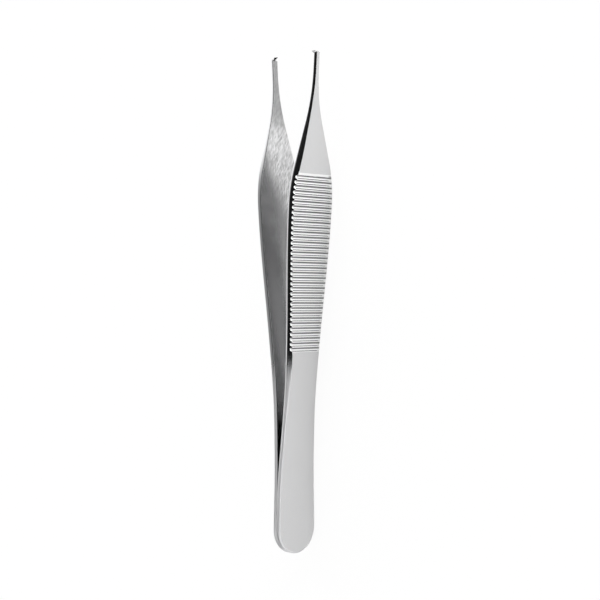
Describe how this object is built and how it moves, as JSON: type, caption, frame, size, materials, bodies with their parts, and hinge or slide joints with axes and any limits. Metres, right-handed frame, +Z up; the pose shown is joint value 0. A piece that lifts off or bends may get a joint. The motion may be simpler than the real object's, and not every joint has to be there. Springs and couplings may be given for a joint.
{
  "type": "thumb forceps",
  "caption": "Slim toothed tissue forceps: two spring steel leaves welded at a rounded heel, with ribbed finger grips and narrow jaws whose tip teeth interlock.",
  "frame": {"origin": "bottom centre of the whole forceps as it lies on the long edges of its leaves", "axes": "+X along the forceps from the heel to the jaws, Y the way that the jaws open with the two-toothed leaf on the -Y side, +Z up across the width of the leaves"},
  "size_m": [0.12, 0.0156, 0.0136],
  "materials": {
    "satin_steel": "satin"
  },
  "bodies": {
    "root": {"leaf_two_teeth": "satin_steel", "leaf_one_tooth": "satin_steel"}
  },
  "joints": []
}
